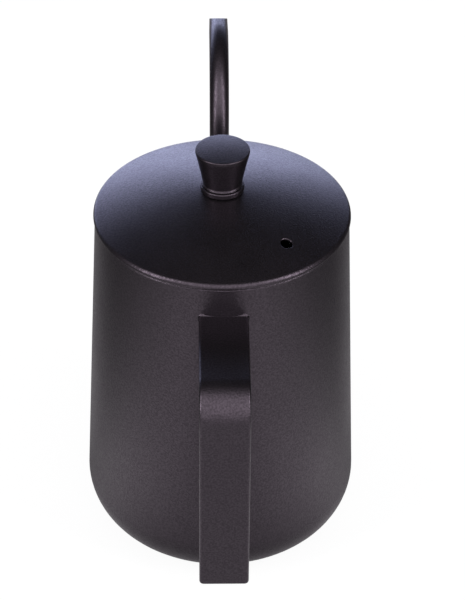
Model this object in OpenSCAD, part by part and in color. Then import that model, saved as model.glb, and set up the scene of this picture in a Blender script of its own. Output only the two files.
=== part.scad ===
// Gooseneck electric kettle jug, lifted off its power base: a tapered steel body with a strap
// handle, a lift-off lid with a knob, a thin pouring spout and a sealed heater in the foot.
// Millimetres. The body's axis is Z, the standing plane is z = 0, the spout points to +Y and
// the handle to -Y.

/* [Body] */
// Height of the body's rolled rim above the standing plane
body_h = 146.9; // [135:0.1:165]
// Outside diameter at the rim
mouth_d = 98.9; // [92:0.1:104]
// Diameter the straight wall would reach at the standing plane
foot_d = 113.8; // [108:0.1:124]
// Radius of the rounded bottom corner
corner_r = 20.2; // [14:0.1:24]
// Thickness of the steel wall
wall = 1.0; // [0.6:0.1:1.4]
// Diameter of the opening under the body that the base cover closes
foot_opening_d = 88; // [84:0.5:92]

/* [Mouth ring] */
// Width of the flange between the wall and the neck that the lid's seal slides in
flange_w = 3.45; // [2.8:0.05:6]
// Depth of the neck below its flange
neck_depth = 12; // [9:0.5:20]
// Sheet thickness of the ring
ring_t = 1.0; // [0.6:0.1:1.4]
// Drop of the ring's flange below the rim
ring_drop = 0.5; // [0.3:0.1:1.5]

/* [Lid] */
// Overhang of the lid's rolled edge past the rim
lid_overhang = 0.55; // [0.2:0.05:3]
// Shadow gap between the lid's edge and the body's rim
lid_gap = 0.7; // [0.5:0.05:1.5]
// Radius of the rolled edge
lid_edge_r = 1.8; // [1.2:0.1:2.6]
// Height of the straight band under the rolled edge
lid_band = 0.85; // [0.8:0.05:2]
// Radius of the shallow dome in section
dome_r = 200; // [150:5:400]
// Slope of the dome where it meets the rolled edge, in degrees
dome_slope = 18.6; // [15:0.1:20]
// Sheet thickness of the lid's two pressings
lid_t = 0.8; // [0.5:0.1:1.2]
// Room on the radius between the skirt and the neck, which the seal fills
seal_room = 2; // [1.6:0.1:3]
// Depth of the skirt below the lid's underside
skirt_h = 10.6; // [9:0.1:14]
// Diameter of the steam vent
vent_d = 4.6; // [3:0.1:6]
// Distance of the steam vent from the axis
vent_offset = 36.9; // [25:0.1:38]
// Direction of the steam vent, counted from the handle towards the right
vent_angle = 40; // [0:1:180]

/* [Knob] */
// Diameter across the knob's top
knob_d = 20.9; // [18:0.1:26]
// Diameter of the knob's waist
waist_d = 14.2; // [12:0.1:16]
// Height of the knob above its collar
knob_h = 16.1; // [12:0.1:22]
// Diameter of the collar under the knob
collar_d = 17; // [16.5:0.1:20]
// Height of the collar
collar_h = 2.0; // [1.2:0.1:4]
// Diameter of the knob's screw
knob_screw_d = 4; // [3:0.5:5]

/* [Spout] */
// Height of the spout's root on the wall
root_z = 41; // [40:0.5:60]
// Outside diameter of the spout at its root
root_d = 16; // [14:0.5:17]
// Outside diameter at the low bend
low_d = 13; // [11:0.5:14]
// Outside diameter of the neck
neck_tube_d = 8.3; // [7:0.1:10]
// Outside diameter at the tip
tip_d = 7.9; // [6.6:0.1:8.6]
// Wall of the spout tube
spout_t = 0.6; // [0.4:0.1:0.9]
// Upward angle of the spout where it leaves the body, in degrees
root_angle = 12; // [0:1:25]
// Length of the cone between the body and the low bend
root_len = 7; // [6:0.5:20]
// Centreline radius of the low bend
low_bend_r = 19; // [16:0.5:32]
// Angle of the long neck above the horizontal, in degrees
neck_angle = 80; // [60:1:84]
// Length of the long neck
neck_len = 69; // [50:0.1:100]
// Centreline radius of the top bend
top_bend_r = 36; // [15:0.5:45]
// Angle of the tip above the horizontal, in degrees
tip_angle = -3; // [-20:1:50]
// Length of the straight tip beyond the top bend
tip_len = 13.5; // [3:0.5:16]
// Angle that the cut mouth faces above the horizontal, in degrees
cut_angle = 60; // [35:1:65]

/* [Handle] */
// Width of the strap
strap_w = 18.6; // [14:0.1:24]
// Thickness of the strap
strap_t = 3; // [2.6:0.1:4]
// Radius on the strap's long edges
strap_edge_r = 1; // [0.5:0.1:1.2]
// Drop of the shelf's top face below the rim
shelf_drop = 11.8; // [10.9:0.1:22]
// Distance of the handle's bend from the axis
bend_y = 85.7; // [78:0.1:100]
// Outside radius of the handle's bend
bend_r = 13; // [9:0.1:18]
// Outward lean of the grip, in degrees
grip_lean = 4; // [0:0.5:10]
// Length of the straight grip
grip_len = 74.4; // [60:0.1:80]
// Radius of the grip's two bottom corners
grip_corner_r = 1.6; // [1:0.1:4]

/* [Heater] */
// Height of the heating floor's underside
floor_z = 26; // [26:0.1:29]
// Thickness of the heating floor
floor_t = 1.2; // [0.8:0.1:1.6]
// Depth of the floor's welded flange
flange_h = 4; // [3:0.5:5]
// Thickness of the heat spreader
spreader_t = 4; // [3:0.1:4]
// Diameter of the tubular element
element_d = 6.5; // [5.5:0.1:7]
// Arc of the ring, in degrees
element_arc = 300; // [270:5:310]
// Length of the water probe above the floor
probe_h = 13; // [10:0.5:25]

/* [Coupler] */
// Outside diameter of the coupler socket
socket_d = 31; // [30:0.1:33]
// Bore of the socket's guide skirt
socket_bore_d = 23.6; // [23:0.1:24.4]
// Depth of the guide skirt
socket_guide = 7.5; // [6:0.1:7.5]
// Height of the whole socket
socket_h = 14; // [13:0.5:14.5]

/* [Base] */
// Thickness of the base cover
cover_t = 2.2; // [2:0.1:3]
// Height of the rubber pads that the jug stands on
pad_h = 1.0; // [0.6:0.1:1.4]
// Diameter of a rubber pad
pad_d = 11; // [8:0.5:13]

/* [Hidden] */
$fn = 96;

// Clearances
slip = 0.1;            // turning and plug-in fits, on the radius
seat_gap = 0.3;        // vertical gap between pieces that rest on each other through the seal
thread_gap = 0.05;     // between a screw's shank and its hole
cover_gap = 0.15;      // round the edge of the base cover
cut = 1;               // how far a cutting solid runs past a face
bend_swell = 0.03;     // a bend's section is this much fuller than the straight runs it takes in
bend_lap = 0.4;        // how far a straight run reaches into the bend

// Body wall
side_run = (foot_d - mouth_d) / 2 / body_h;
side_tilt = atan(side_run);
corner_x = foot_d / 2 - corner_r * side_run - corner_r / cos(side_tilt);
foot_opening_r = foot_opening_d / 2;

// Radius of the wall at height z, a distance `inset` in from its outer face
function side_r(z, inset = 0) = foot_d / 2 - z * side_run - inset / cos(side_tilt);

// Half section of the solid that lies `inset` inside the body's outer face
module body_section(inset, top) {
    tangent_r = corner_r - inset;
    polygon([
        [0, inset],
        [corner_x, inset],
        [corner_x + tangent_r * cos(side_tilt), corner_r + tangent_r * sin(side_tilt)],
        [side_r(top, inset), top],
        [0, top],
    ]);
    translate([corner_x, corner_r]) circle(r = tangent_r);
}

module body_solid(inset = 0, top = body_h) {
    rotate_extrude() body_section(inset, top);
}

// Ring with a rectangular section
module ring(r_in, r_out, z0, z1) {
    rotate_extrude() translate([r_in, z0]) square([r_out - r_in, z1 - z0]);
}

// Upright cylinder between two heights
module post(r, z0, z1) {
    translate([0, 0, z0]) cylinder(r = r, h = z1 - z0);
}

// Places children round the axis at a radius and an angle counted from +X
module at_polar(radius, angle) {
    rotate([0, 0, angle]) translate([radius, 0, 0]) children();
}

// Cross recess of a given [length, width, depth], cut upwards from a screw head's face
module cross_slot(z, size) {
    for (turn = [0, 90]) rotate([0, 0, turn])
        translate([-size[0] / 2, -size[1] / 2, z - cut]) cube([size[0], size[1], size[2] + cut]);
}

// ---- body ----

module body_shell() {
    lip_z = body_h - wall / 2;
    color([0.17, 0.16, 0.17]) difference() {
        rotate_extrude() {
            difference() {
                body_section(0, lip_z);
                body_section(wall, lip_z + cut);
                square([foot_opening_r, corner_r]);
            }
            translate([side_r(lip_z, wall / 2), lip_z]) circle(d = wall);
        }
        spout_bore_root();
    }
}

// Welded inside the rim: a flange that the seal rests on and a neck that guides it
ring_z = body_h - ring_drop;
neck_r = side_r(body_h, wall) - flange_w;
module mouth_ring() {
    color([0.62, 0.62, 0.63]) rotate_extrude() polygon([
        [neck_r, ring_z],
        [side_r(ring_z, wall), ring_z],
        [side_r(ring_z - ring_t, wall), ring_z - ring_t],
        [neck_r + ring_t, ring_z - ring_t],
        [neck_r + ring_t, ring_z - neck_depth],
        [neck_r, ring_z - neck_depth],
    ]);
}

// ---- spout ----

// The spout's centreline lies in the YZ plane. A heading of 0 degrees points along +Y.
function heading(a) = [0, cos(a), sin(a)];
function left_of(a) = [0, -sin(a), cos(a)];

root_start = [0, side_r(root_z, wall / 2), root_z];
low_bend_start = root_start + root_len * heading(root_angle);
low_bend_centre = low_bend_start + low_bend_r * left_of(root_angle);
neck_start = low_bend_centre - low_bend_r * left_of(neck_angle);
neck_end = neck_start + neck_len * heading(neck_angle);
top_bend_centre = neck_end - top_bend_r * left_of(neck_angle);
tip_start = top_bend_centre + top_bend_r * left_of(tip_angle);
tip_end = tip_start + tip_len * heading(tip_angle);

// Straight cone from p along a heading
module leg(p, a, length, r0, r1) {
    translate(p) rotate([a - 90, 0, 0]) cylinder(r1 = r0, r2 = r1, h = length);
}

// Straight tube between outside radii r0 and r1. Both ends lap into the bends that they meet.
module hollow_leg(p, a, length, r0, r1) {
    translate(p) rotate([a - 90, 0, 0]) rotate_extrude() polygon([
        [r0 - spout_t, -bend_lap],
        [r0, -bend_lap],
        [r1, length + bend_lap],
        [r1 - spout_t, length + bend_lap],
    ]);
}

// Bent tube about a centre in the YZ plane, between two directions seen from that centre
module hollow_elbow(centre, from, to, bend, r) {
    translate(centre) rotate([90, 0, 90]) rotate([0, 0, from])
        rotate_extrude(angle = to - from) translate([bend, 0]) difference() {
            circle(r = r + bend_swell);
            circle(r = r - spout_t - bend_swell);
        }
}

root_r = root_d / 2;
low_r = low_d / 2;
neck_tube_r = neck_tube_d / 2;
tip_r = tip_d / 2;

// The root cone runs back through the wall so that it can be trimmed to it
root_taper = (root_r - low_r) / root_len;
root_run = 4 * wall;
module root_cone(grow = 0) {
    leg(root_start - root_run * heading(root_angle), root_angle, root_len + root_run + bend_lap,
        root_r + root_taper * root_run + grow, low_r - root_taper * bend_lap + grow);
}

// What the slanted mouth cuts away
tip_run = 2.5 * tip_r;
module mouth_cut() {
    size = 4 * neck_tube_d;
    translate(tip_end) rotate([cut_angle - 90, 0, 0])
        translate([-size / 2, -size / 2, 0]) cube(size);
}

module spout_bore_root() {
    leg(root_start - 3 * wall * heading(root_angle), root_angle, 6 * wall,
        root_r - spout_t, root_r - spout_t);
}

module spout_tube() {
    tip_taper = (neck_tube_r - tip_r) / tip_len;
    color([0.15, 0.145, 0.155]) {
        difference() {
            root_cone();
            root_cone(-spout_t);
            body_solid();
        }
        hollow_elbow(low_bend_centre, root_angle - 90, neck_angle - 90, low_bend_r, low_r);
        hollow_leg(neck_start, neck_angle, neck_len, low_r, neck_tube_r);
        hollow_elbow(top_bend_centre, tip_angle + 90, neck_angle + 90, top_bend_r, neck_tube_r);
        difference() {
            hollow_leg(tip_start, tip_angle, tip_len + tip_run, neck_tube_r,
                tip_r - tip_taper * tip_run);
            mouth_cut();
        }
    }
}

// Polished weld fairing round the root
collar_len = 4;
collar_flare = 2.5;
module spout_collar() {
    color([0.15, 0.145, 0.155]) difference() {
        leg(root_start - root_run * heading(root_angle), root_angle, collar_len + root_run,
            root_r + collar_flare * (1 + root_run / collar_len), root_r);
        root_cone();
        body_solid();
    }
}

// ---- handle ----

module strap_section(swell = 0) {
    r = strap_edge_r;
    square([strap_w - 2 * r, strap_t + 2 * swell], center = true);
    square([strap_w + 2 * swell, strap_t - 2 * r], center = true);
    for (x = [-1, 1], y = [-1, 1])
        translate([x * (strap_w / 2 - r), y * (strap_t / 2 - r)]) circle(r = r + swell);
}

shelf_z = body_h - shelf_drop;
shelf_mid_z = shelf_z - strap_t / 2;
bend_mid_r = bend_r - strap_t / 2;
grip_turn = 90 - grip_lean;
// Where the bend ends and the grip starts, on the strap's middle line
grip_top = [0, -bend_y - bend_mid_r * sin(grip_turn), shelf_z - bend_r + bend_mid_r * cos(grip_turn)];

// Puts children in the grip's own frame: -Z runs down the grip and -Y is its outer face
module in_grip() {
    translate(grip_top) rotate([-grip_lean, 0, 0]) mirror([0, 0, 1]) children();
}

module grip_outline() {
    r = grip_corner_r;
    end = grip_len;
    translate([-strap_w / 2 - cut, -cut]) square([strap_w + 2 * cut, end + cut - r]);
    translate([-strap_w / 2 + r, 0]) square([strap_w - 2 * r, end]);
    for (x = [-1, 1]) translate([x * (strap_w / 2 - r), end - r]) circle(r = r);
}

module handle_strap() {
    color([0.14, 0.135, 0.14]) difference() {
        union() {
            translate([0, -side_r(shelf_z) / 2, shelf_mid_z]) rotate([90, 0, 0])
                linear_extrude(height = bend_y - side_r(shelf_z) / 2 + bend_lap) strap_section();
            translate([0, -bend_y, shelf_z - bend_r]) rotate([0, -90, 0]) rotate([0, 0, -grip_turn])
                rotate_extrude(angle = grip_turn) translate([bend_mid_r, 0])
                    rotate([0, 0, 90]) strap_section(bend_swell);
            intersection() {
                in_grip() translate([0, 0, -bend_lap])
                    linear_extrude(height = grip_len + bend_lap) strap_section();
                in_grip() rotate([90, 0, 0]) translate([0, 0, -strap_t])
                    linear_extrude(height = 2 * strap_t) grip_outline();
            }
        }
        body_solid();
        for (y = screw_rows) translate([0, -y, 0])
            post(tap_r + thread_gap, shelf_z - strap_t - cut, tap_top);
    }
}

// Bracket under the shelf: a curved plate welded to the wall, with a tongue under the strap
bracket_w = 14;
bracket_t = 2.5;
bracket_drop = 20;
tap_r = 1.95;
tap_skin = 0.9;
tap_top = shelf_z - tap_skin;
screw_head_r = 3.6;
screw_head_h = 2;
screw_edge = 4.5;
screw_pitch = 7;
tongue_edge = 0.4;
wall_y = side_r(shelf_z);
first_screw = wall_y + bracket_t + screw_edge;
screw_rows = [first_screw, first_screw + screw_pitch];
tongue_end = first_screw + screw_pitch + screw_head_r + tongue_edge;
module handle_bracket() {
    top = shelf_z - strap_t;
    color([0.14, 0.135, 0.14]) difference() {
        intersection() {
            body_solid(-bracket_t);
            translate([-bracket_w / 2, -foot_d, top - bracket_drop])
                cube([bracket_w, foot_d, bracket_drop]);
        }
        body_solid();
    }
    color([0.14, 0.135, 0.14]) difference() {
        translate([-bracket_w / 2, -tongue_end, top - bracket_t])
            cube([bracket_w, tongue_end - wall_y + bracket_t, bracket_t]);
        body_solid(-bracket_t / 2);
        for (y = screw_rows) translate([0, -y, 0]) {
            post(tap_r + thread_gap, top - bracket_t - cut, top + cut);
            translate([0, 0, top - bracket_t]) cylinder(r1 = screw_head_r + thread_gap,
                r2 = tap_r + thread_gap, h = screw_head_h);
        }
    }
}

hex_r = 1.4;
hex_depth = 1.2;
module handle_screws() {
    bottom = shelf_z - strap_t - bracket_t;
    color([0.3, 0.3, 0.31]) for (y = screw_rows) translate([0, -y, 0]) difference() {
        union() {
            translate([0, 0, bottom]) cylinder(r1 = screw_head_r, r2 = tap_r, h = screw_head_h);
            post(tap_r, bottom + screw_head_h / 2, tap_top - 2 * slip);
        }
        translate([0, 0, bottom - cut]) cylinder(r = hex_r, h = cut + hex_depth, $fn = 6);
    }
}

// ---- heater ----

// Outwards from the socket: fuse, element, studs, the spreader's edge and the probe
element_r = element_d / 2;
sleeve_t = 0.3;
fuse_r = 1.8;
fuse_room = 0.8;
stud_r = 3;
stud_room = 1;
spreader_edge = 0.5;
probe_r = 2.5;
probe_flange_r = 5;
probe_room = 1.5;
socket_r = socket_d / 2;
element_ring_r = socket_r + 2 * (fuse_room + fuse_r) + element_r;
stud_ring_r = element_ring_r + element_r + sleeve_t + stud_room + stud_r;
spreader_r = stud_ring_r + stud_r + spreader_edge;
probe_offset = spreader_r + probe_room + probe_flange_r;

floor_top = floor_z + floor_t;
spreader_z = floor_z - spreader_t;
module floor_plate() {
    rim_z = floor_z - flange_h;
    color([0.66, 0.66, 0.67]) difference() {
        rotate_extrude() difference() {
            intersection() {
                body_section(wall, body_h);
                translate([0, rim_z]) square([foot_d, floor_top - rim_z]);
            }
            intersection() {
                body_section(wall + floor_t, body_h);
                translate([0, rim_z - cut]) square([foot_d, flange_h + cut]);
            }
        }
        at_polar(probe_offset, probe_angle) post(probe_r + thread_gap, floor_z - cut, floor_top + cut);
    }
}

module heat_spreader() {
    color([0.75, 0.75, 0.76]) post(spreader_r, spreader_z, floor_z);
}

element_z = spreader_z - element_r;
element_gap_angle = (360 - element_arc) / 2;
cold_end_z = 9;
module heating_element() {
    color([0.55, 0.54, 0.52]) {
        translate([0, 0, element_z]) rotate([0, 0, element_gap_angle])
            rotate_extrude(angle = element_arc) translate([element_ring_r, 0]) circle(r = element_r);
        for (a = [-1, 1]) at_polar(element_ring_r, a * element_gap_angle)
            post(element_r + sleeve_t, cold_end_z, spreader_z);
    }
}

terminal_r = 1.2;
lead_r = 1;
lead_z = 7;
module element_terminals() {
    color([0.75, 0.66, 0.38]) for (a = [-1, 1]) at_polar(element_ring_r, a * element_gap_angle)
        post(terminal_r, lead_z - lead_r, cold_end_z);
}

// Water probe through the floor behind the axis
probe_angle = 270;
probe_flange_t = 1.4;
probe_tail = 6;
gasket_t = 1.2;
nut_t = 3;
module temp_probe() {
    top = floor_top + probe_h;
    color([0.7, 0.7, 0.7]) at_polar(probe_offset, probe_angle) {
        post(probe_r, floor_z - probe_tail, top - probe_r);
        translate([0, 0, top - probe_r]) sphere(r = probe_r);
        post(probe_flange_r, floor_z - probe_flange_t, floor_z);
    }
}

module probe_gasket() {
    color([0.72, 0.25, 0.18]) at_polar(probe_offset, probe_angle)
        ring(probe_r, probe_flange_r, floor_top, floor_top + gasket_t);
}

module probe_nut() {
    z0 = floor_top + gasket_t;
    color([0.7, 0.7, 0.7]) at_polar(probe_offset, probe_angle) difference() {
        translate([0, 0, z0]) cylinder(r = probe_flange_r, h = nut_t, $fn = 6);
        post(probe_r + thread_gap, z0 - cut, z0 + nut_t + cut);
    }
}

// A stiff lead that leaves the socket's side and turns up to a height
lead_bend = 2.4;
lead_sink = 0.5;
module riser_lead(radius, z_low, z_high) {
    start = socket_r - lead_sink;
    translate([start, 0, z_low]) rotate([0, 90, 0]) cylinder(r = lead_r, h = radius - lead_bend - start);
    translate([radius - lead_bend, 0, z_low + lead_bend]) rotate([90, 0, 0])
        rotate([0, 0, -90]) rotate_extrude(angle = 90) translate([lead_bend, 0]) circle(r = lead_r);
    translate([radius, 0, 0]) post(lead_r, z_low + lead_bend, z_high);
}

probe_lead_z = 10.5;
module probe_lead() {
    color([0.85, 0.85, 0.82]) rotate([0, 0, probe_angle]) difference() {
        riser_lead(probe_offset, probe_lead_z, floor_z - probe_tail);
        post(socket_r, 0, socket_h + cut);
    }
}

fuse_len = 10;
fuse_mid = socket_r + fuse_room + fuse_r;
module thermal_fuse() {
    color([0.8, 0.78, 0.7]) translate([-fuse_len / 2, fuse_mid, spreader_z - fuse_r])
        rotate([0, 90, 0]) cylinder(r = fuse_r, h = fuse_len);
}

// ---- coupler and dry-boil cut-out ----

bore_r = socket_bore_d / 2;
socket_ceiling = 2;
socket_flange_w = 4;
socket_flange_t = 2;
recess_step = 0.6;
recess_r = bore_r - recess_step;
contact_sink = 1;
cover_top = pad_h + cover_t;
pin_r = 2;
inner_ring_r = [5.4, 6.4];
outer_ring_r = [8.8, 9.8];
contact_z = socket_guide + 0.4;
contact_top = socket_h + 0.6;

module coupler_socket() {
    ceiling_z = socket_h - socket_ceiling;
    color([0.09, 0.09, 0.1]) difference() {
        union() {
            post(socket_r, 0, socket_h);
            post(socket_r + socket_flange_w, cover_top, cover_top + socket_flange_t);
        }
        post(bore_r, -cut, socket_guide);
        post(recess_r, socket_guide - cut, ceiling_z);
        post(pin_r, ceiling_z - cut, socket_h + cut);
        ring(inner_ring_r[0], inner_ring_r[1], ceiling_z - cut, ceiling_z + contact_sink);
        ring(outer_ring_r[0], outer_ring_r[1], ceiling_z - cut, ceiling_z + contact_sink);
    }
}

module contact_pin() {
    color([0.78, 0.68, 0.36]) {
        post(pin_r, contact_z + pin_r, contact_top);
        translate([0, 0, contact_z + pin_r]) sphere(r = pin_r);
    }
}

module contact_ring(r) {
    color([0.78, 0.68, 0.36]) ring(r[0], r[1], contact_z, socket_h - socket_ceiling + contact_sink);
}

module contact_ring_inner() {
    contact_ring(inner_ring_r);
}

module contact_ring_outer() {
    contact_ring(outer_ring_r);
}

// The cut-out sits on the socket, under the heat spreader
housing_top = spreader_z - 0.4;
disc_r = 9.3;
disc_t = 0.4;
disc_z = housing_top - 0.7;
disc_room = 0.9;
chamber = [20, 8, 3.5];
plunger_r = 1.5;
plunger_travel = 0.5;
leaf = [20, 5, 0.3];
leaf_z = socket_h + 1.6;
module cutout_housing() {
    color([0.82, 0.8, 0.74]) difference() {
        post(socket_r, socket_h, housing_top);
        post(disc_r + slip, disc_z, housing_top + cut);
        post(disc_r - 1, disc_z - disc_room, housing_top);
        post(plunger_r + slip / 2, socket_h, housing_top);
        translate([-chamber[0] / 2, -chamber[1] / 2, socket_h - cut])
            cube([chamber[0], chamber[1], chamber[2] + cut]);
    }
}

module bimetal_disc() {
    color([0.6, 0.56, 0.5]) post(disc_r, disc_z, disc_z + disc_t);
}

module cutout_plunger() {
    color([0.9, 0.9, 0.86])
        post(plunger_r, leaf_z + leaf[2] + plunger_travel + slip, disc_z - slip * 2);
}

module contact_leaf() {
    color([0.78, 0.68, 0.36]) translate([-leaf[0] / 2, -leaf[1] / 2, leaf_z]) cube(leaf);
}

// Jumper from the socket's side to one end of the element
module jumper(side) {
    run = element_ring_r - socket_r;
    rotate([0, 0, side * element_gap_angle]) difference() {
        translate([socket_r - lead_sink, 0, lead_z]) rotate([0, 90, 0]) cylinder(r = lead_r, h = run);
        post(socket_r, 0, socket_h);
        at_polar(element_ring_r, 0) post(terminal_r, 0, cold_end_z);
    }
}

module lead_live() {
    color([0.45, 0.2, 0.1]) jumper(1);
}

module lead_neutral() {
    color([0.15, 0.3, 0.65]) jumper(-1);
}

module lead_earth() {
    color([0.3, 0.6, 0.2]) rotate([0, 0, 180]) difference() {
        riser_lead(fuse_mid, lead_z + lead_r, spreader_z);
        post(socket_r, 0, socket_h);
    }
}

// ---- base ----

stud_angles = [90, 210, 330];
pad_edge = 3.5;
pad_ring_r = foot_opening_r - pad_edge - pad_d / 2;
pad_angles = [30, 150, 270];
pad_sink = 0.6;
boss_r = 4.2;
boss_top = 6;
base_screw_r = 1.45;
base_head_r = 2.8;
base_head_z = [pad_h + 0.4, pad_h + 2.4];
screw_end = 14;
base_slot = [3, 0.7, 0.9];
module base_studs() {
    color([0.7, 0.7, 0.7]) for (a = stud_angles) at_polar(stud_ring_r, a) difference() {
        post(stud_r, boss_top, spreader_z);
        post(base_screw_r + thread_gap, boss_top - cut, screw_end + seat_gap);
    }
}

module base_cover() {
    color([0.08, 0.08, 0.085]) difference() {
        union() {
            rotate_extrude() intersection() {
                body_section(0, corner_r);
                translate([0, pad_h]) square([foot_opening_r - cover_gap, cover_t]);
            }
            for (a = stud_angles) at_polar(stud_ring_r, a) post(boss_r, pad_h, boss_top);
        }
        post(socket_r + slip, 0, cover_top + cut);
        for (a = stud_angles) at_polar(stud_ring_r, a) {
            post(base_screw_r + 2 * slip, pad_h - cut, boss_top + cut);
            post(base_head_r + 2 * slip, pad_h - cut, base_head_z[1]);
        }
        for (a = pad_angles) at_polar(pad_ring_r, a) post(pad_d / 2, pad_h - cut, pad_h + pad_sink);
    }
}

module base_screws() {
    color([0.6, 0.6, 0.62]) for (a = stud_angles) at_polar(stud_ring_r, a) difference() {
        union() {
            post(base_head_r, base_head_z[0], base_head_z[1]);
            post(base_screw_r, base_head_z[1] - cut, screw_end);
        }
        cross_slot(base_head_z[0], base_slot);
    }
}

module foot_pads() {
    color([0.05, 0.05, 0.05]) for (a = pad_angles) at_polar(pad_ring_r, a)
        post(pad_d / 2, 0, pad_h + pad_sink);
}

// ---- lid ----

lid_r = mouth_d / 2 + lid_overhang;
lid_bottom = body_h + lid_gap;
lid_edge_z = lid_bottom + lid_band;
edge_x = lid_r - lid_edge_r;
dome_x = edge_x - (dome_r - lid_edge_r) * sin(dome_slope);
dome_z = lid_edge_z - (dome_r - lid_edge_r) * cos(dome_slope);
collar_r = collar_d / 2;

// Height of the dome above the standing plane at a radius
function dome_top(r, inset = 0) = dome_z + sqrt(pow(dome_r - inset, 2) - pow(r - dome_x, 2));
seat_z = dome_top(collar_r);

// Half section of the solid that lies `inset` inside the lid's outer face
module lid_section(inset) {
    tangent_x = edge_x + (lid_edge_r - inset) * sin(dome_slope);
    intersection() {
        translate([dome_x, dome_z]) circle(r = dome_r - inset, $fn = 720);
        translate([0, lid_edge_z]) square([tangent_x, seat_z - inset - lid_edge_z]);
    }
    translate([edge_x, lid_edge_z]) circle(r = lid_edge_r - inset);
    translate([0, lid_bottom - cut * sign(inset)])
        square([lid_r - inset, lid_band + cut * sign(inset)]);
}

module vent_hole() {
    rotate([0, 0, vent_angle - 90]) translate([vent_offset, 0, 0])
        post(vent_d / 2, skirt_bottom - cut, seat_z + cut);
}

module lid_disc() {
    color([0.13, 0.13, 0.14]) difference() {
        rotate_extrude() difference() {
            lid_section(0);
            lid_section(lid_t);
        }
        vent_hole();
        post(knob_screw_r + thread_gap, seat_z - 2 * lid_t, seat_z + cut);
    }
}

skirt_r = neck_r - seal_room;
skirt_bottom = lid_bottom - skirt_h;
skirt_bead = 0.6;
module lid_inner() {
    color([0.62, 0.62, 0.63]) difference() {
        rotate_extrude() {
            translate([skirt_r - lid_t, lid_bottom]) square([lid_r - skirt_r, lid_t]);
            translate([skirt_r - lid_t, skirt_bottom]) square([lid_t, skirt_h + lid_t]);
            translate([0, skirt_bottom]) square([skirt_r + skirt_bead, lid_t]);
        }
        vent_hole();
    }
}

// Silicone seal between the skirt and the neck, with three soft lips
seal_wall = 1.1;
lip_t = 0.3;
lip_foot = 0.2;
lip_root = 0.9;
lip_sink = 0.1;
seal_inset = 0.5;
seal_in = skirt_r + slip;
seal_out = skirt_r + seal_wall;
lip_out = neck_r - seat_gap;
seal_top = lid_bottom - seat_gap;
seal_flange_t = lid_gap + ring_drop - 2 * seat_gap;
seal_bottom = skirt_bottom + lid_t + seat_gap;
module lid_seal() {
    lips = 3;
    pitch = (seal_top - seal_flange_t - seal_bottom) / lips;
    color([0.2, 0.2, 0.2]) rotate_extrude() {
        translate([seal_in, seal_bottom]) square([seal_out - seal_in, seal_top - seal_bottom]);
        translate([seal_in, seal_top - seal_flange_t])
            square([side_r(body_h, wall) - seal_inset - seal_in, seal_flange_t]);
        for (i = [0 : lips - 1]) translate([0, seal_bottom + i * pitch]) polygon([
            [seal_out - lip_sink, lip_foot],
            [lip_out, pitch / 2],
            [lip_out, pitch / 2 + lip_t],
            [seal_out - lip_sink, pitch / 2 + lip_root],
        ]);
    }
}

// ---- knob ----

knob_screw_r = knob_screw_d / 2;
knob_z = seat_z + collar_h;
knob_top = knob_z + knob_h;
collar_chamfer = 0.5;
module knob_collar() {
    color([0.14, 0.14, 0.15]) difference() {
        rotate_extrude() polygon([
            [0, seat_z],
            [collar_r, seat_z],
            [collar_r, knob_z - collar_chamfer],
            [collar_r - collar_chamfer, knob_z],
            [0, knob_z],
        ]);
        post(knob_screw_r + thread_gap, seat_z - cut, knob_z + cut);
    }
}

knob_edge_r = 0.5;
knob_dish = 0.5;
knob_bore = 10;
knob_land = 0.3;
flank_sag = 0.5;
module knob() {
    waist_r = waist_d / 2;
    top_r = knob_d / 2;
    flank_h = knob_h - knob_dish - 2 * knob_edge_r;
    // The flank is a shallow hollow arc between the waist and the top edge
    flank_run = top_r - waist_r;
    flank_chord = sqrt(pow(flank_run, 2) + pow(flank_h, 2));
    flank_arc_r = (pow(flank_chord / 2, 2) + pow(flank_sag, 2)) / 2 / flank_sag;
    chord_angle = atan2(flank_h, flank_run);
    flank_centre = [waist_r + flank_run / 2, knob_z + knob_land + flank_h / 2]
        + (flank_arc_r - flank_sag) * [sin(chord_angle), -cos(chord_angle)];
    // The crown is a very flat dome over the top edge
    crown_r = (pow(top_r - knob_edge_r, 2) + pow(knob_dish, 2)) / 2 / knob_dish;
    crown_base = knob_top - knob_dish;
    color([0.15, 0.15, 0.16]) difference() {
        rotate_extrude() {
            difference() {
                translate([0, knob_z]) square([top_r, crown_base - knob_edge_r - knob_z]);
                translate(flank_centre) circle(r = flank_arc_r, $fn = 360);
                translate([waist_r, knob_z - cut]) square([top_r, cut + knob_land]);
                polygon([
                    [waist_r, knob_z + knob_land],
                    [top_r, knob_z + knob_land + flank_h],
                    [top_r + cut, knob_z + knob_land + flank_h],
                    [top_r + cut, knob_z],
                    [waist_r, knob_z],
                ]);
            }
            translate([top_r - knob_edge_r, crown_base - knob_edge_r]) circle(r = knob_edge_r);
            translate([0, crown_base - 2 * knob_edge_r]) square([top_r - knob_edge_r, 2 * knob_edge_r]);
            intersection() {
                translate([0, knob_top - crown_r]) circle(r = crown_r, $fn = 360);
                translate([0, crown_base - cut / 2]) square([top_r - knob_edge_r, knob_h]);
            }
        }
        post(knob_screw_r + thread_gap, knob_z - cut, knob_z + knob_bore);
    }
}

washer_t = 0.8;
knob_head_r = 4;
knob_head_h = 2.4;
knob_slot = [4, 0.8, 1];
washer_edge = 1.5;
module knob_washer() {
    top = seat_z - lid_t;
    color([0.7, 0.7, 0.7]) difference() {
        post(knob_head_r + washer_edge, top - washer_t, top);
        post(knob_screw_r + thread_gap, top - washer_t - cut, top + cut);
    }
}

module knob_screw() {
    top = seat_z - lid_t - washer_t;
    color([0.7, 0.7, 0.7]) difference() {
        union() {
            post(knob_head_r, top - knob_head_h, top);
            post(knob_screw_r, top - cut, knob_z + knob_bore - 1);
        }
        cross_slot(top - knob_head_h, knob_slot);
    }
}

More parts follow.
